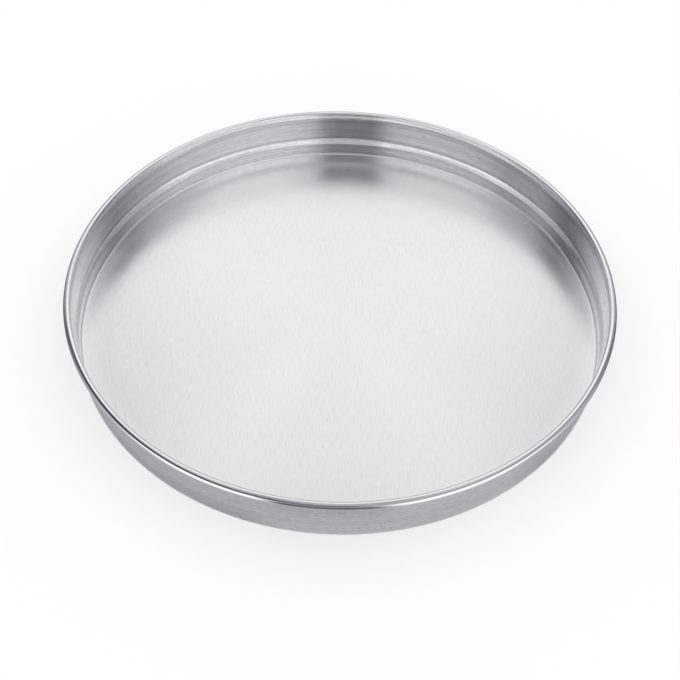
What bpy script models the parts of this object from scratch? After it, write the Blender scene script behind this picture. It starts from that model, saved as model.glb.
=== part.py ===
# Round cake pan, spun from one sheet, with a curled rim closed round a reinforcing wire.
# Metres, +Z up. The origin is the centre of the underside, so the pan stands on Z = 0.

import math

import bmesh
import bpy
from mathutils import Vector

# Driving dimensions
RIM_DIAMETER = 0.305        # across the outside of the curled rim
PAN_HEIGHT = 0.032          # underside to the top of the rim
SHEET = 0.0010              # thickness of the sheet
WIRE_DIAMETER = 0.0016      # reinforcing wire inside the curl
WIRE_CLEARANCE = 0.0003     # between the wire and the curl round it
WIRE_END_GAP = 0.0006       # between the wire's two cut ends
CURL_END_GAP = 0.0003       # between the curl's edge and the wall it closes on
SHOULDER_DEPTH = 0.0198     # top of the rim down to the shoulder's upper bend
SHOULDER_RISE = 0.0030      # height of the sloping shoulder
NEST_CLEARANCE = 0.0002     # play of one pan's lower wall inside the upper wall of the next
UPPER_DRAFT = math.radians(0.3)   # lean of the wall above the shoulder
LOWER_DRAFT = math.radians(0.2)   # lean of the wall below the shoulder
NECK_FLARE = math.radians(4.0)    # lean of the short neck where the wall turns out into the curl
NECK_HEIGHT = 0.0022        # height of that neck
CORNER_RADIUS = 0.0010      # inside radius between floor and wall
BEND_RADIUS = 0.0006        # tighter face of each bend of the shoulder
NECK_RADIUS = 0.012         # easy bend between the upper wall and the neck

# Facets
ROUND_STEPS = 96            # facets round the pan
CORNER_STEPS = 4            # facets of the floor corner
BEND_STEPS = 2              # facets of each shoulder bend
NECK_STEPS = 2              # facets of the bend below the neck
CURL_STEPS = 16             # facets of the curl
WIRE_SIDES = 10             # facets round the wire

# Derived dimensions
HALF_SHEET = SHEET / 2
BEAD_RADIUS = WIRE_DIAMETER / 2 + WIRE_CLEARANCE + SHEET
CURL_RADIUS = BEAD_RADIUS - HALF_SHEET
BEAD_CENTRE = Vector((RIM_DIAMETER / 2 - BEAD_RADIUS, PAN_HEIGHT - BEAD_RADIUS))
SHOULDER_STEP = SHEET + NEST_CLEARANCE


def on_circle(centre, radius, angle):
    """A point of a circle in the section plane, with the angle counted from +R towards +Z."""
    return centre + radius * Vector((math.cos(angle), math.sin(angle)))


def left_of(direction):
    """The unit normal on the left of a direction of travel: the inside of the pan."""
    return Vector((-direction.y, direction.x)).normalized()


def rounded_corner(before, corner, after, radius, steps):
    """Points and normals of the arc that rounds one corner of the sheet's middle line."""
    incoming = (corner - before).normalized()
    outgoing = (after - corner).normalized()
    turn = incoming.angle_signed(outgoing) * -1
    side = math.copysign(1, turn)
    start = corner - incoming * radius * math.tan(abs(turn) / 2)
    centre = start + left_of(incoming) * side * radius
    first = math.atan2(start.y - centre.y, start.x - centre.x)
    arc = []
    for step in range(steps + 1):
        point = on_circle(centre, radius, first + turn * step / steps)
        arc.append((point, (centre - point).normalized() * side))
    return arc


def curl_end_angle(wall_face):
    """The angle at which the curl's outer edge comes up to the wall's outer face, given its radius."""
    return -math.acos((wall_face + CURL_END_GAP - BEAD_CENTRE.x) / BEAD_RADIUS)


def middle_line():
    """The sheet's middle line from the axis to the curl's edge, as points with normals."""
    wall_top = on_circle(BEAD_CENTRE, CURL_RADIUS, math.pi - NECK_FLARE)
    neck = wall_top - NECK_HEIGHT * Vector((math.tan(NECK_FLARE), 1))
    upper_z = PAN_HEIGHT - SHOULDER_DEPTH
    upper_bend = Vector((neck.x - (neck.y - upper_z) * math.tan(UPPER_DRAFT), upper_z))
    lower_bend = upper_bend - Vector((SHOULDER_STEP, SHOULDER_RISE))
    drawn_in = (lower_bend.y - HALF_SHEET) * math.tan(LOWER_DRAFT)
    floor_corner = Vector((lower_bend.x - drawn_in, HALF_SHEET))
    axis_point = Vector((0, HALF_SHEET))

    corner_radius = CORNER_RADIUS + HALF_SHEET
    bend_radius = BEND_RADIUS + HALF_SHEET
    line = [(axis_point, Vector((0, 1)))]
    line += rounded_corner(axis_point, floor_corner, lower_bend, corner_radius, CORNER_STEPS)
    line += rounded_corner(floor_corner, lower_bend, upper_bend, bend_radius, BEND_STEPS)
    line += rounded_corner(lower_bend, upper_bend, neck, bend_radius, BEND_STEPS)
    line += rounded_corner(upper_bend, neck, wall_top, NECK_RADIUS, NECK_STEPS)

    start = math.pi - NECK_FLARE
    end = curl_end_angle(neck.x + HALF_SHEET)
    for step in range(CURL_STEPS + 1):
        point = on_circle(BEAD_CENTRE, CURL_RADIUS, start + (end - start) * step / CURL_STEPS)
        line.append((point, (point - BEAD_CENTRE).normalized()))
    return line


def sheet_section():
    """The sheet's whole section: its inside face outwards, then its outside face back."""
    line = middle_line()
    inside = [point + normal * HALF_SHEET for point, normal in line]
    outside = [point - normal * HALF_SHEET for point, normal in line]
    return inside + outside[::-1]


def finish_object(name, bm, material, parent):
    """Turns the mesh into a smooth-shaded object with its material."""
    bmesh.ops.recalc_face_normals(bm, faces=bm.faces)
    mesh = bpy.data.meshes.new(name)
    bm.to_mesh(mesh)
    bm.free()
    mesh.shade_smooth()
    mesh.set_sharp_from_angle(angle=math.radians(35))
    mesh.materials.append(material)
    obj = bpy.data.objects.new(name, mesh)
    bpy.context.scene.collection.objects.link(obj)
    obj.parent = parent
    return obj


def metal(name, colour, roughness):
    """A bare metal surface."""
    material = bpy.data.materials.new(name)
    material.use_nodes = True
    shader = material.node_tree.nodes["Principled BSDF"]
    shader.inputs["Base Color"].default_value = (*colour, 1.0)
    shader.inputs["Metallic"].default_value = 1.0
    shader.inputs["Roughness"].default_value = roughness
    return material


def make_pan_body(parent):
    """Floor, lower wall, shoulder, upper wall and curled rim: one revolved sheet."""
    bm = bmesh.new()
    verts = [bm.verts.new((point.x, 0, point.y)) for point in sheet_section()]
    edges = [bm.edges.new(pair) for pair in zip(verts, verts[1:])]
    bmesh.ops.spin(bm, geom=verts + edges, cent=(0, 0, 0), axis=(0, 0, 1),
                   angle=math.tau, steps=ROUND_STEPS, use_merge=True, use_duplicate=False)
    bmesh.ops.remove_doubles(bm, verts=bm.verts, dist=1e-6)
    return finish_object("pan_body", bm, metal("satin_aluminium", (0.86, 0.86, 0.87), 0.30), parent)


def make_rim_wire(parent):
    """The wire ring inside the curl, cut once, with its two ends butted."""
    bm = bmesh.new()
    sides = range(WIRE_SIDES)
    section = [on_circle(BEAD_CENTRE, WIRE_DIAMETER / 2, math.tau * side / WIRE_SIDES) for side in sides]
    face = bm.faces.new([bm.verts.new((point.x, 0, point.y)) for point in section])
    gap_angle = WIRE_END_GAP / BEAD_CENTRE.x
    bmesh.ops.spin(bm, geom=face.verts[:] + face.edges[:] + [face], cent=(0, 0, 0), axis=(0, 0, 1),
                   angle=math.tau - gap_angle, steps=ROUND_STEPS, use_duplicate=False)
    return finish_object("rim_wire", bm, metal("galvanised_wire", (0.62, 0.63, 0.64), 0.40), parent)


def main():
    for obj in list(bpy.data.objects):
        bpy.data.objects.remove(obj, do_unlink=True)
    pan = bpy.data.objects.new("cake_pan", None)
    bpy.context.scene.collection.objects.link(pan)
    make_pan_body(pan)
    make_rim_wire(pan)


main()
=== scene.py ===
import math

import bmesh
import bpy
from mathutils import Matrix, Vector


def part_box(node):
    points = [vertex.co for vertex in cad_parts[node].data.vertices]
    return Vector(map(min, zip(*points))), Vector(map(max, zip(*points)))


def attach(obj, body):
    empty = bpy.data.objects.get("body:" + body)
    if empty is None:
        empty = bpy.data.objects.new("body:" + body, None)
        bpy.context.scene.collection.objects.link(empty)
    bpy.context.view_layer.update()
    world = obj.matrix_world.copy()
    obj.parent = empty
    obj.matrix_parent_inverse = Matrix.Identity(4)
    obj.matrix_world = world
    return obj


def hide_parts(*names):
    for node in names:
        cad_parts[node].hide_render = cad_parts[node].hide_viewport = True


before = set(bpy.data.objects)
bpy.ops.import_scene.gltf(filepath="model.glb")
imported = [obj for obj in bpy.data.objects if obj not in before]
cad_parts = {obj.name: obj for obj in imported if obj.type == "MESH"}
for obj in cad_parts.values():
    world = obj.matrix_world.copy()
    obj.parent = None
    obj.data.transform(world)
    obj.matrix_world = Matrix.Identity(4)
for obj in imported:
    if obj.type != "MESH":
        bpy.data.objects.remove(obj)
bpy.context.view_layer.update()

# Sizes read from the frame
RIM_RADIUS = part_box("pan_body")[1].x
PAN_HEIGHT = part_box("pan_body")[1].z

# Sizes repeated from the part's source
SHEET = 0.0010
WIRE_DIAMETER = 0.0016
WIRE_CLEARANCE = 0.0003
CURL_END_GAP = 0.0003
SHOULDER_DEPTH = 0.0198
SHOULDER_RISE = 0.0030
NEST_CLEARANCE = 0.0002
UPPER_DRAFT = math.radians(0.3)
LOWER_DRAFT = math.radians(0.2)
NECK_FLARE = math.radians(4.0)
NECK_HEIGHT = 0.0022
CORNER_RADIUS = 0.0010
BEND_RADIUS = 0.0006
NECK_RADIUS = 0.012

# The shoulder's face swells a little between its two bends, as a formed ledge does
LEDGE_LOW_TILT = math.radians(20.5)
LEDGE_HIGH_TILT = math.radians(23.5)
LEDGE_RADIUS = 0.012
LEDGE_STEPS = 10

# Fine facets of the visual surface
ROUND_STEPS = 384
CORNER_STEPS = 12
LOW_BEND_STEPS = 3
BEND_STEPS = 8
NECK_STEPS = 4
CURL_STEPS = 40
FLOOR_RINGS = 12

# Sizes that follow
HALF_SHEET = SHEET / 2
BEAD_RADIUS = WIRE_DIAMETER / 2 + WIRE_CLEARANCE + SHEET
CURL_RADIUS = BEAD_RADIUS - HALF_SHEET
BEAD_CENTRE = Vector((RIM_RADIUS - BEAD_RADIUS, PAN_HEIGHT - BEAD_RADIUS))
SHOULDER_STEP = SHEET + NEST_CLEARANCE

# Camera, fitted to the photograph's rim, shoulder and floor lines
CAMERA_DISTANCE = 0.6634
CAMERA_ELEVATION = math.radians(45.04)
CAMERA_TILT = math.radians(42.108)
CAMERA_YAW = math.radians(-0.037)
CAMERA_ROLL = math.radians(1.521)
LENS = 62.94
SENSOR = 36.0

METAL_COLOUR = (0.838, 0.838, 0.841)

# Spun walls: pitch of the noise across the lines and how fast it changes round the pan, with its shade
LINE_PITCH = 0.0011
LINE_ROUND_SCALE = 0.10
LINE_SHADE = 0.085
STREAK_PITCH = 0.0025
STREAK_ROUND_SCALE = 1.2
STREAK_SHADE = (0.965, 1.035)
STREAK_ROUGHNESS = 0.03
GRAIN_LENGTH = 0.0028
GRAIN_WIDTH = 0.0010

# Lean of the spun lines and shade of the grain, on the walls and on the rim
WALL_RELIEF = (0.006, 0.10)
RIM_RELIEF = (0.003, 0.02)

# Rolled floor: size, shade and lean of its straight grain, and size, shade and roughness of its bloom
ROLLED_LENGTH = 0.006
ROLLED_WIDTH = 0.0006
ROLLED_SHADE = 0.060
ROLLED_LEAN = 0.006
CLOUD_SIZE = 0.05
CLOUD_SHADE = (0.965, 1.015)
CLOUD_ROUGHNESS = 0.02

# Drawn wire, out of sight in the curl
WIRE_FINISH = (0.4, 0.3)
WIRE_SPECKLE = 0.0012
WIRE_SHADE = (0.64, 0.80)
WIRE_ROUGHNESS = (0.32, 0.48)

# Painted shade and painted highlight in bands round the wall: darker just above the shoulder, under the bead and,
# outside, in the crease of the shoulder; lighter, where the depth is below 0, on the shoulder and on the walls
# above and below it: height, half width and depth of shade
INSIDE_SHADE_AND_HIGHLIGHT = [(0.0137, 0.0009, 0.20), (0.0120, 0.0006, -0.08), (0.0264, 0.0017, 0.11), (0.0055, 0.0009, -0.11),
                (0.0160, 0.0008, -0.03)]
OUTSIDE_PAINTED_SHADE = [(0.0113, 0.0013, 0.24)]

# Fine relief inside, as extra lean of the face: height, half width and slope
LIFTS = [(0.0092, 0.0008, 0.16), (0.0108, 0.0026, 0.04), (0.0126, 0.0009, 0.27), (0.0294, 0.0012, 0.28),
         (0.0301, 0.0006, 0.12)]

# Roughness and anisotropy of the pressed floor, the spun walls and the rolled rim
FINISHES = {"floor": (0.22, 0.8), "wall": (0.18, 0.80), "rim": (0.11, 0.5)}

# Where the three meet: the floor's top and edge, and the bead's share that counts as rim
FLOOR_TOP = 0.0012
FLOOR_EDGE = 0.1462
RIM_REACH = 1.02
RIM_INNER = 0.5

# What the metal mirrors round the pan: azimuths, elevations, softness round the pan, and the grey
ELEVATION_EDGE = 12
SURROUND_LEVEL = 0.68
SURROUND = [
    ("front_high", (196, 344), (56, 74), 20, 0.88),
    ("camera_high", (254, 281), (48, 59), 8, 0.20),
    ("top_light", (0, 360), (74, 95), 10, 0.26),
    ("zenith", (0, 360), (84, 95), 6, 0.80),
    ("right_light", (290, 349), (-20, 60), 24, 1.08),
    ("left_light", (192, 248), (-20, 60), 20, 1.00),
    ("left_shade", (125, 190), (-20, 60), 54, 0.50),
    ("right_shade", (350, 412), (-20, 60), 50, 0.50),
    ("back_light", (68, 112), (18, 62), 20, 1.05),
    ("left_flag", (138, 165), (4, 56), 26, 0.06),
    ("right_flag", (18, 40), (4, 56), 26, 0.16),
    ("back_low", (0, 180), (-20, 4), 40, 0.15),
    ("back_middle", (36, 144), (4, 22), 30, 0.55),
    ("low_light", (200, 346), (-20, 16), 16, 1.35),
    ("camera_flag", (253.3, 281.2), (24, 54), 8, 0.065),
    ("camera_low", (256, 281), (-20, 22), 8, 0.70),
]
DOME_RADIUS = 3.0
DOME_FOOT = -1.0
DOME_TOP = 89.5
DOME_ROWS = 60

# Grey of the table as the metal mirrors it, with the pan's shadow painted on it round the foot: azimuths,
# distances from the axis, softness round, and the grey
TABLE_EDGE = 0.016
TABLE_LEVEL = 0.46
TABLE = [
    ("table_back", (-6, 186), (0.153, 3.2), 20, 0.14),
    # Painted shadow of the pan on the table round its foot, lighter at the front right
    ("foot_painted_shadow", (0, 360), (0.10, 0.152), 8, 0.34),
    ("right_foot_painted_shadow", (256, 312), (0.10, 0.164), 12, 0.50),
    ("table_side", (196, 344), (0.174, 3.2), 10, 0.55),
    ("table_left", (227, 256), (0.178, 3.2), 10, 1.14),
    ("table_right", (284, 314), (0.173, 3.2), 10, 1.14),
    ("table_far", (206, 344), (0.30, 3.2), 10, 1.05),
    ("table_camera", (257, 282), (0.166, 3.2), 6, 0.36),
]
TABLE_HEIGHT = 0.0004
TABLE_START = 0.1485
TABLE_END = DOME_RADIUS * 1.01
TABLE_ROWS = 60
TABLE_SPREAD = 1.6

# Cards that stand close round the front of the rim, out of what the inner walls mirror:
# reach, heights, soft edge and, by azimuth, softness and grey
HIGH_CARDS = (0.40, (0.135, 0.34), 0.03, [
    ("high_left", (168, 262), 8, 0.05),
    ("high_camera", (256, 283), 6, 0.15),
    ("high_right", (278, 352), 10, 0.42),
])
TOP_CARDS = (0.22, (0.110, 0.24), 0.02, [
    ("top_left", (168, 262), 8, 0.06),
    ("top_camera", (256, 283), 6, 0.30),
    ("top_right", (278, 352), 10, 0.36),
])
LOW_CARDS = (0.19, (0.0006, 0.044), 0.004, [
    ("low_camera", (255, 281), 8, 0.13),
])
NEAR_ROWS = 24
CARD_COLUMNS = 240

# The cards' faint cool cast: the power that a channel's grey is raised to, held on the cool side of the grey
COOL_CAST = (("Green", 1.012, "MINIMUM"), ("Blue", 0.93, "MAXIMUM"))

# The pale floor: its size, and how much of it glows white for the camera alone
STUDIO_RADIUS = 12.0
STUDIO_STEPS = 96
STUDIO_GLOW = 0.6


def on_circle(centre, radius, angle):
    """A point of a circle in the section plane, with the angle counted from +R towards +Z."""
    return centre + radius * Vector((math.cos(angle), math.sin(angle)))


def left_of(direction):
    """The unit normal on the left of a direction of travel: the inside of the pan."""
    return Vector((-direction.y, direction.x)).normalized()


def rounded_corner(before, corner, after, radius, steps):
    """Points and normals of the arc that rounds one corner of the sheet's middle line."""
    incoming = (corner - before).normalized()
    outgoing = (after - corner).normalized()
    turn = incoming.angle_signed(outgoing) * -1
    side = math.copysign(1, turn)
    start = corner - incoming * radius * math.tan(abs(turn) / 2)
    centre = start + left_of(incoming) * side * radius
    first = math.atan2(start.y - centre.y, start.x - centre.x)
    arc = []
    for step in range(steps + 1):
        point = on_circle(centre, radius, first + turn * step / steps)
        arc.append((point, (centre - point).normalized() * side))
    return arc


def curl_end_angle(wall_face):
    """The angle at which the curl's outer edge comes up to the wall's outer face, given its radius."""
    return -math.acos((wall_face + CURL_END_GAP - BEAD_CENTRE.x) / BEAD_RADIUS)


def ledge_corner(lower_bend, upper_bend):
    """Where the shoulder's low and high slopes would meet."""
    low = Vector((math.sin(LEDGE_LOW_TILT), math.cos(LEDGE_LOW_TILT)))
    high = Vector((math.sin(LEDGE_HIGH_TILT), math.cos(LEDGE_HIGH_TILT)))
    across = upper_bend - lower_bend
    length = (across.x * high.y - across.y * high.x) / (low.x * high.y - low.y * high.x)
    return lower_bend + low * length


def middle_line():
    """The sheet's middle line from the axis to the curl's edge, as points with normals."""
    wall_top = on_circle(BEAD_CENTRE, CURL_RADIUS, math.pi - NECK_FLARE)
    neck = wall_top - NECK_HEIGHT * Vector((math.tan(NECK_FLARE), 1))
    upper_z = PAN_HEIGHT - SHOULDER_DEPTH
    upper_bend = Vector((neck.x - (neck.y - upper_z) * math.tan(UPPER_DRAFT), upper_z))
    lower_bend = upper_bend - Vector((SHOULDER_STEP, SHOULDER_RISE))
    drawn_in = (lower_bend.y - HALF_SHEET) * math.tan(LOWER_DRAFT)
    floor_corner = Vector((lower_bend.x - drawn_in, HALF_SHEET))
    axis_point = Vector((0, HALF_SHEET))

    corner_radius = CORNER_RADIUS + HALF_SHEET
    bend_radius = BEND_RADIUS + HALF_SHEET
    floor_edge = floor_corner.x - corner_radius
    line = [(Vector((floor_edge * ring / FLOOR_RINGS, HALF_SHEET)), Vector((0, 1))) for ring in range(FLOOR_RINGS)]
    line += rounded_corner(axis_point, floor_corner, lower_bend, corner_radius, CORNER_STEPS)
    ledge = ledge_corner(lower_bend, upper_bend)
    line += rounded_corner(floor_corner, lower_bend, ledge, bend_radius, LOW_BEND_STEPS)
    line += rounded_corner(lower_bend, ledge, upper_bend, LEDGE_RADIUS, LEDGE_STEPS)
    line += rounded_corner(ledge, upper_bend, neck, bend_radius, BEND_STEPS)
    line += rounded_corner(upper_bend, neck, wall_top, NECK_RADIUS, NECK_STEPS)

    start = math.pi - NECK_FLARE
    end = curl_end_angle(neck.x + HALF_SHEET)
    for step in range(CURL_STEPS + 1):
        point = on_circle(BEAD_CENTRE, CURL_RADIUS, start + (end - start) * step / CURL_STEPS)
        line.append((point, (point - BEAD_CENTRE).normalized()))
    return line


def sheet_section():
    """The sheet's whole section: its inside face outwards, then its outside face back."""
    line = middle_line()
    inside = [point + normal * HALF_SHEET for point, normal in line]
    outside = [point - normal * HALF_SHEET for point, normal in line]
    return inside + outside[::-1]


def way_at(height, outside=False):
    """How far along the section the wall's inner or outer face passes a height."""
    section = sheet_section()
    clear_of_curl = BEAD_CENTRE.x - BEAD_RADIUS * 0.4
    way, found = 0.0, []
    for before, after in zip(section, section[1:]):
        if (before.y - height) * (after.y - height) <= 0 and before.x < clear_of_curl:
            part = (height - before.y) / (after.y - before.y) if after.y != before.y else 0.0
            found.append(way + part * (after - before).length)
        way += (after - before).length
    return found[-1] if outside else found[0]


def revolved(name, section):
    """A closed surface of revolution, with the turn and the way along the section as UVs."""
    bm = bmesh.new()
    uv = bm.loops.layers.uv.new("section")
    way = [0.0]
    for before, after in zip(section, section[1:]):
        way.append(way[-1] + (after - before).length)
    rings = []
    for point in section:
        if point.x < 1e-9:
            rings.append([bm.verts.new((0, 0, point.y))] * ROUND_STEPS)
            continue
        turns = [math.tau * step / ROUND_STEPS for step in range(ROUND_STEPS)]
        rings.append([bm.verts.new((point.x * math.cos(a), point.x * math.sin(a), point.y)) for a in turns])
    for index, (ring, after) in enumerate(zip(rings, rings[1:])):
        for step in range(ROUND_STEPS):
            following = (step + 1) % ROUND_STEPS
            corners = [ring[step], ring[following], after[following], after[step]]
            places = [(step, index), (step + 1, index), (step + 1, index + 1), (step, index + 1)]
            kept = [k for k in range(4) if corners[k] not in corners[:k]]
            face = bm.faces.new([corners[k] for k in kept])
            face.smooth = True
            for loop, k in zip(face.loops, kept):
                turn, stop = places[k]
                loop[uv].uv = (turn / ROUND_STEPS, way[stop])
    bmesh.ops.recalc_face_normals(bm, faces=bm.faces)
    return linked(name, bm)


def linked(name, bm):
    """The finished mesh as an object in the scene."""
    mesh = bpy.data.meshes.new(name)
    bm.to_mesh(mesh)
    bm.free()
    obj = bpy.data.objects.new(name, mesh)
    bpy.context.scene.collection.objects.link(obj)
    return obj


def node(tree, kind, **settings):
    """A new shader node with the given properties and input values."""
    new = tree.nodes.new(kind)
    for key, value in settings.items():
        if key in new.inputs:
            new.inputs[key].default_value = value
        else:
            setattr(new, key, value)
    return new


def math_node(tree, operation, first, second=None):
    """The output of a math node over sockets or plain numbers."""
    new = tree.nodes.new("ShaderNodeMath")
    new.operation = operation
    for slot, value in enumerate((first, second)):
        if value is None:
            continue
        if isinstance(value, (int, float)):
            new.inputs[slot].default_value = value
        else:
            tree.links.new(value, new.inputs[slot])
    return new.outputs["Value"]


def noise_of(tree, vector, detail, roughness):
    """A noise between about 0 and 1 over a vector."""
    noise = node(tree, "ShaderNodeTexNoise", Scale=1.0, Detail=detail, Roughness=roughness)
    tree.links.new(vector, noise.inputs["Vector"])
    return noise.outputs["Fac"]


def combined(tree, x, y, z):
    """A vector of three sockets or numbers."""
    new = tree.nodes.new("ShaderNodeCombineXYZ")
    for slot, value in enumerate((x, y, z)):
        if isinstance(value, (int, float)):
            new.inputs[slot].default_value = value
        else:
            tree.links.new(value, new.inputs[slot])
    return new.outputs["Vector"]


def remapped(tree, value, low, high, first, last):
    """A value mapped from one span to another, held at its ends."""
    new = node(tree, "ShaderNodeMapRange")
    for name, number in (("From Min", low), ("From Max", high), ("To Min", first), ("To Max", last)):
        new.inputs[name].default_value = number
    tree.links.new(value, new.inputs["Value"])
    return new.outputs["Result"]


def metal_shader(name, finish):
    """A metal material with its anisotropic highlight laid round the pan, and its node tree."""
    roughness, anisotropy = finish
    material = bpy.data.materials.new(name)
    material.use_nodes = True
    tree = material.node_tree
    shader = tree.nodes["Principled BSDF"]
    shader.inputs["Metallic"].default_value = 1.0
    shader.inputs["Roughness"].default_value = roughness
    shader.inputs["Anisotropic"].default_value = anisotropy
    shader.inputs["Anisotropic Rotation"].default_value = 0.25
    tangent = node(tree, "ShaderNodeTangent", direction_type="RADIAL", axis="Z")
    tree.links.new(tangent.outputs["Tangent"], shader.inputs["Tangent"])
    return material, tree, shader


def tinted(tree, share, shader):
    """Gives the shader the metal's colour times a share."""
    colour = node(tree, "ShaderNodeVectorMath", operation="SCALE")
    colour.inputs[0].default_value = METAL_COLOUR
    tree.links.new(share, colour.inputs["Scale"])
    tree.links.new(colour.outputs["Vector"], shader.inputs["Base Color"])


def tilted(tree, tilt, shader):
    """Tilts the surface by a small vector, which gives fine relief without steps."""
    surface = tree.nodes.new("ShaderNodeNewGeometry")
    added = node(tree, "ShaderNodeVectorMath", operation="ADD")
    unit = node(tree, "ShaderNodeVectorMath", operation="NORMALIZE")
    tree.links.new(surface.outputs["Normal"], added.inputs[0])
    tree.links.new(tilt, added.inputs[1])
    tree.links.new(added.outputs["Vector"], unit.inputs[0])
    tree.links.new(unit.outputs["Vector"], shader.inputs["Normal"])


def mark(tree, way, centre, half_width, depth):
    """1 away from a line round the pan, and 1 less the depth on it."""
    off = math_node(tree, "ABSOLUTE", math_node(tree, "SUBTRACT", way, centre))
    new = node(tree, "ShaderNodeMapRange", interpolation_type="SMOOTHSTEP")
    for name, number in (("From Min", 0.0), ("From Max", half_width), ("To Min", 1 - depth), ("To Max", 1.0)):
        new.inputs[name].default_value = number
    tree.links.new(off, new.inputs["Value"])
    return new.outputs["Result"]


def spun_metal(name, finish, relief, painted_bands, lifts):
    """Spun metal: fine lines of uneven depth round the pan, long soft streaks, a little grain, and bands of
    painted shade and painted highlight.
    """
    line_slope, grain = relief
    material, tree, shader = metal_shader(name, finish)
    section = node(tree, "ShaderNodeUVMap", uv_map="section")
    parts = tree.nodes.new("ShaderNodeSeparateXYZ")
    tree.links.new(section.outputs["UV"], parts.inputs["Vector"])
    turn = math_node(tree, "MULTIPLY", parts.outputs["X"], math.tau)
    way = parts.outputs["Y"]
    east = math_node(tree, "COSINE", turn)
    north = math_node(tree, "SINE", turn)

    def stretched(round_scale, way_scale):
        """A place for noise that has no seam round the pan."""
        return combined(tree, math_node(tree, "MULTIPLY", east, round_scale),
                        math_node(tree, "MULTIPLY", north, round_scale),
                        math_node(tree, "MULTIPLY", way, way_scale))

    lines = noise_of(tree, stretched(LINE_ROUND_SCALE, 1 / LINE_PITCH), 3.0, 0.65)
    streaks = noise_of(tree, stretched(STREAK_ROUND_SCALE, 1 / STREAK_PITCH), 2.0, 0.6)
    speckle = noise_of(tree, stretched(RIM_RADIUS / GRAIN_LENGTH, 1 / GRAIN_WIDTH), 1.0, 0.5)

    share = math_node(tree, "ADD", remapped(tree, lines, 0.25, 0.75, -LINE_SHADE, LINE_SHADE),
                      remapped(tree, streaks, 0.25, 0.75, *STREAK_SHADE))
    share = math_node(tree, "ADD", share, remapped(tree, speckle, 0.2, 0.8, -grain, grain))
    # Bands of painted shade darken the colour, and bands of painted highlight, with depth below 0, lighten it
    for centre, half_width, depth in painted_bands:
        share = math_node(tree, "MULTIPLY", share, mark(tree, way, centre, half_width, depth))
    tinted(tree, share, shader)
    unevenness = remapped(tree, streaks, 0.25, 0.75, -STREAK_ROUGHNESS, STREAK_ROUGHNESS)
    rough = math_node(tree, "ADD", unevenness, finish[0])
    tree.links.new(rough, shader.inputs["Roughness"])
    slope = remapped(tree, lines, 0.25, 0.75, -line_slope, line_slope)
    for centre, half_width, rise in lifts:
        lean = math_node(tree, "SUBTRACT", 1.0, mark(tree, way, centre, half_width, rise))
        slope = math_node(tree, "ADD", slope, lean)
    tilted(tree, combined(tree, 0.0, 0.0, slope), shader)
    return material


def rolled_metal(name, finish):
    """The floor's rolled sheet: straight fine grain with a cloudy bloom."""
    material, tree, shader = metal_shader(name, finish)
    place = tree.nodes.new("ShaderNodeTexCoord")
    parts = tree.nodes.new("ShaderNodeSeparateXYZ")
    tree.links.new(place.outputs["Object"], parts.inputs["Vector"])
    along = math_node(tree, "MULTIPLY", parts.outputs["Y"], 1 / ROLLED_LENGTH)
    across = math_node(tree, "MULTIPLY", parts.outputs["X"], 1 / ROLLED_WIDTH)
    grain = noise_of(tree, combined(tree, across, along, 0.0), 3.0, 0.7)
    cloud_place = node(tree, "ShaderNodeVectorMath", operation="SCALE")
    cloud_place.inputs["Scale"].default_value = 1 / CLOUD_SIZE
    tree.links.new(place.outputs["Object"], cloud_place.inputs[0])
    clouds = noise_of(tree, cloud_place.outputs["Vector"], 4.0, 0.55)
    share = math_node(tree, "ADD", remapped(tree, grain, 0.25, 0.75, -ROLLED_SHADE, ROLLED_SHADE),
                      remapped(tree, clouds, 0.3, 0.7, *CLOUD_SHADE))
    tinted(tree, share, shader)
    unevenness = remapped(tree, clouds, 0.3, 0.7, -CLOUD_ROUGHNESS, CLOUD_ROUGHNESS)
    rough = math_node(tree, "ADD", unevenness, finish[0])
    tree.links.new(rough, shader.inputs["Roughness"])
    lean = remapped(tree, grain, 0.25, 0.75, -ROLLED_LEAN, ROLLED_LEAN)
    tilted(tree, combined(tree, lean, 0.0, 0.0), shader)
    return material


def smooth_step(value, low, high):
    """Rises smoothly from 0 at low to 1 at high."""
    part = min(max((value - low) / (high - low), 0.0), 1.0)
    return part * part * (3 - 2 * part)


def within(value, span, soft):
    """1 inside a span of values and 0 outside, with edges that are soft over a width."""
    rise = smooth_step(value, span[0] - soft / 2, span[0] + soft / 2)
    return rise * (1 - smooth_step(value, span[1] - soft / 2, span[1] + soft / 2))


def round_within(azimuth, span, soft):
    """The same for azimuths, which come round again after a full turn."""
    if span[1] - span[0] >= 360:
        return 1.0
    return max(within(azimuth + turn, span, soft) for turn in (-360, 0, 360))


def surround_grey(azimuth, elevation):
    """Grey of the surroundings in one direction."""
    grey = SURROUND_LEVEL
    for _, azimuths, elevations, soft, value in SURROUND:
        share = round_within(azimuth, azimuths, soft) * within(elevation, elevations, ELEVATION_EDGE)
        grey += (value - grey) * share
    return grey


def table_grey(azimuth, distance):
    """Grey of the table at one place."""
    grey = TABLE_LEVEL
    for _, azimuths, distances, soft, value in TABLE:
        share = round_within(azimuth, azimuths, soft) * within(distance, distances, TABLE_EDGE)
        grey += (value - grey) * share
    return grey


def near_look(azimuth, height, heights, edge, cards):
    """Grey and cover of a ring of near cards at one place."""
    grey, cover = 0.5, 0.0
    for _, azimuths, soft, value in cards:
        share = round_within(azimuth, azimuths, soft)
        grey += (value - grey) * share
        cover = max(cover, share)
    low, high = heights
    cover *= smooth_step(height, low, low + edge) * (1 - smooth_step(height, high - edge, high))
    return grey, cover


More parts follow.
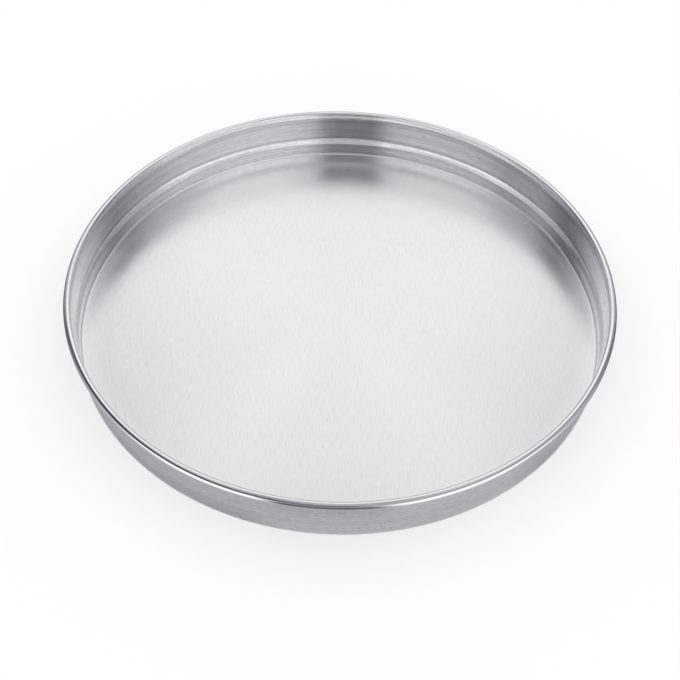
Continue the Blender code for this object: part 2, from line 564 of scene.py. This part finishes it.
def glowing(name):
    """A surface that glows with the grey kept at its points, as far as its cover goes."""
    material = bpy.data.materials.new(name)
    material.use_nodes = True
    tree = material.node_tree
    tree.nodes.remove(tree.nodes["Principled BSDF"])
    grey = node(tree, "ShaderNodeAttribute", attribute_name="grey")
    cover = node(tree, "ShaderNodeAttribute", attribute_name="cover")
    glow = node(tree, "ShaderNodeEmission")
    clear = node(tree, "ShaderNodeBsdfTransparent")
    mix = node(tree, "ShaderNodeMixShader")
    cool = tree.nodes.new("ShaderNodeCombineColor")
    tree.links.new(grey.outputs["Fac"], cool.inputs["Red"])
    for channel, power, limit in COOL_CAST:
        shade = math_node(tree, "POWER", grey.outputs["Fac"], power)
        tree.links.new(math_node(tree, limit, shade, grey.outputs["Fac"]), cool.inputs[channel])
    tree.links.new(cool.outputs["Color"], glow.inputs["Color"])
    tree.links.new(cover.outputs["Fac"], mix.inputs[0])
    tree.links.new(clear.outputs["BSDF"], mix.inputs[1])
    tree.links.new(glow.outputs["Emission"], mix.inputs[2])
    tree.links.new(mix.outputs["Shader"], tree.nodes["Material Output"].inputs["Surface"])
    return material


def mirrored_card(name, rows):
    """A card that shows in the metal alone, from rows of points with their greys and cover."""
    bm = bmesh.new()
    grey_layer = bm.verts.layers.float.new("grey")
    cover_layer = bm.verts.layers.float.new("cover")
    grid = []
    for row in rows:
        line = []
        for place, grey, cover in row:
            vert = bm.verts.new(place)
            vert[grey_layer] = grey
            vert[cover_layer] = cover
            line.append(vert)
        grid.append(line)
    for low, high in zip(grid, grid[1:]):
        for column in range(len(low)):
            after = (column + 1) % len(low)
            bm.faces.new((low[column], low[after], high[after], high[column]))
    card = linked(name, bm)
    card.data.materials.append(glowing(name))
    card.visible_camera = False
    card.visible_diffuse = False
    card.visible_shadow = False
    card.visible_transmission = False


def make_surroundings():
    """A dome, a table card and near cards that give the metal its soft lights and dark flags, with the pan's
    shadow painted on the table card round its foot.
    """
    azimuths = [360 * column / CARD_COLUMNS for column in range(CARD_COLUMNS)]
    turns = [(math.cos(math.radians(a)), math.sin(math.radians(a))) for a in azimuths]
    rows = []
    for row in range(DOME_ROWS + 1):
        elevation = DOME_FOOT + (DOME_TOP - DOME_FOOT) * row / DOME_ROWS
        reach = DOME_RADIUS * math.cos(math.radians(elevation))
        height = DOME_RADIUS * math.sin(math.radians(elevation))
        rows.append([((reach * c, reach * s, height), surround_grey(a, elevation), 1.0)
                     for a, (c, s) in zip(azimuths, turns)])
    mirrored_card("surround_dome", rows)

    rows = []
    for row in range(TABLE_ROWS + 1):
        distance = TABLE_START * (TABLE_END / TABLE_START) ** ((row / TABLE_ROWS) ** TABLE_SPREAD)
        rows.append([((distance * c, distance * s, TABLE_HEIGHT), table_grey(a, distance), 1.0)
                     for a, (c, s) in zip(azimuths, turns)])
    mirrored_card("table_card", rows)

    for name, (reach, heights, edge, cards) in (("high_cards", HIGH_CARDS), ("top_cards", TOP_CARDS),
                                               ("low_cards", LOW_CARDS)):
        rows = []
        for row in range(NEAR_ROWS + 1):
            height = heights[0] + (heights[1] - heights[0]) * row / NEAR_ROWS
            rows.append([((reach * c, reach * s, height), *near_look(a, height, heights, edge, cards))
                         for a, (c, s) in zip(azimuths, turns)])
        mirrored_card(name, rows)


def make_pan():
    """The sheet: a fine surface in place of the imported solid, in its three metals."""
    pan = revolved("pan_sheet_surface", sheet_section())
    pan.data.materials.append(rolled_metal("floor_metal", FINISHES["floor"]))
    # Heights of the bands of painted shade and painted highlight, turned into ways along the section
    painted_bands = [(way_at(height), half_width, depth) for height, half_width, depth in INSIDE_SHADE_AND_HIGHLIGHT]
    painted_bands += [(way_at(height, True), half_width, depth) for height, half_width, depth in OUTSIDE_PAINTED_SHADE]
    lifts = [(way_at(height), half_width, rise) for height, half_width, rise in LIFTS]
    pan.data.materials.append(spun_metal("wall_metal", FINISHES["wall"], WALL_RELIEF, painted_bands, lifts))
    pan.data.materials.append(spun_metal("rim_metal", FINISHES["rim"], RIM_RELIEF, [], lifts))
    rim_low = BEAD_CENTRE.y - BEAD_RADIUS
    for face in pan.data.polygons:
        place = face.center
        reach = math.hypot(place.x, place.y)
        from_bead = Vector((reach, place.z)) - BEAD_CENTRE
        on_bead = from_bead.length < BEAD_RADIUS * RIM_REACH and place.z > rim_low
        if on_bead and from_bead.x > -BEAD_RADIUS * RIM_INNER:
            face.material_index = 2
        elif place.z > FLOOR_TOP or reach > FLOOR_EDGE:
            face.material_index = 1
    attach(pan, "root")
    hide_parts("pan_body")


def make_wire():
    """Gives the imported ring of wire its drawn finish."""
    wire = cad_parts["rim_wire"]
    wire.data.materials.clear()
    material, tree, shader = metal_shader("drawn_wire", WIRE_FINISH)
    place = node(tree, "ShaderNodeVectorMath", operation="SCALE")
    place.inputs["Scale"].default_value = 1 / WIRE_SPECKLE
    coordinates = tree.nodes.new("ShaderNodeTexCoord")
    tree.links.new(coordinates.outputs["Object"], place.inputs[0])
    speckle = noise_of(tree, place.outputs["Vector"], 3.0, 0.6)
    tinted(tree, remapped(tree, speckle, 0.3, 0.7, *WIRE_SHADE), shader)
    tree.links.new(remapped(tree, speckle, 0.3, 0.7, *WIRE_ROUGHNESS), shader.inputs["Roughness"])
    wire.data.materials.append(material)


def make_floor():
    """A plain white floor, brightened evenly for the camera, that keeps a light shadow."""
    look = bpy.data.materials.new("pale_floor")
    look.use_nodes = True
    tree = look.node_tree
    shader = tree.nodes["Principled BSDF"]
    shader.inputs["Base Color"].default_value = (1.0, 1.0, 1.0, 1.0)
    shader.inputs["Roughness"].default_value = 1.0
    shader.inputs["Specular IOR Level"].default_value = 0.0
    rays = node(tree, "ShaderNodeLightPath")
    share = node(tree, "ShaderNodeMath", operation="MULTIPLY")
    share.inputs[1].default_value = STUDIO_GLOW
    glow = node(tree, "ShaderNodeEmission")
    mix = node(tree, "ShaderNodeMixShader")
    tree.links.new(rays.outputs["Is Camera Ray"], share.inputs[0])
    tree.links.new(share.outputs["Value"], mix.inputs[0])
    tree.links.new(shader.outputs["BSDF"], mix.inputs[1])
    tree.links.new(glow.outputs["Emission"], mix.inputs[2])
    tree.links.new(mix.outputs["Shader"], tree.nodes["Material Output"].inputs["Surface"])

    bm = bmesh.new()
    turns = [math.tau * step / STUDIO_STEPS for step in range(STUDIO_STEPS)]
    bm.faces.new([bm.verts.new((STUDIO_RADIUS * math.cos(a), STUDIO_RADIUS * math.sin(a), 0.0)) for a in turns])
    floor = linked("floor", bm)
    floor.data.materials.append(look)


def make_light():
    """An even white world."""
    world = bpy.data.worlds.new("studio")
    bpy.context.scene.world = world
    world.use_nodes = True
    background = world.node_tree.nodes["Background"]
    background.inputs["Color"].default_value = (1.0, 1.0, 1.0, 1.0)
    background.inputs["Strength"].default_value = 1.0


def make_camera():
    """The photograph's camera, as fitted."""
    data = bpy.data.cameras.new("camera")
    data.lens = LENS
    data.sensor_width = SENSOR
    camera = bpy.data.objects.new("camera", data)
    bpy.context.scene.collection.objects.link(camera)
    place = Vector((0, -CAMERA_DISTANCE * math.cos(CAMERA_ELEVATION),
                    BEAD_CENTRE.y + CAMERA_DISTANCE * math.sin(CAMERA_ELEVATION)))
    turn = Matrix.Rotation(CAMERA_TILT, 4, "X") @ Matrix.Rotation(CAMERA_YAW, 4, "Y")
    turn = turn @ Matrix.Rotation(CAMERA_ROLL, 4, "Z")
    camera.matrix_world = Matrix.Translation(place) @ turn
    bpy.context.scene.camera = camera


make_camera()
make_pan()
make_wire()
make_floor()
make_light()
make_surroundings()
bpy.context.scene.view_settings.view_transform = "Standard"
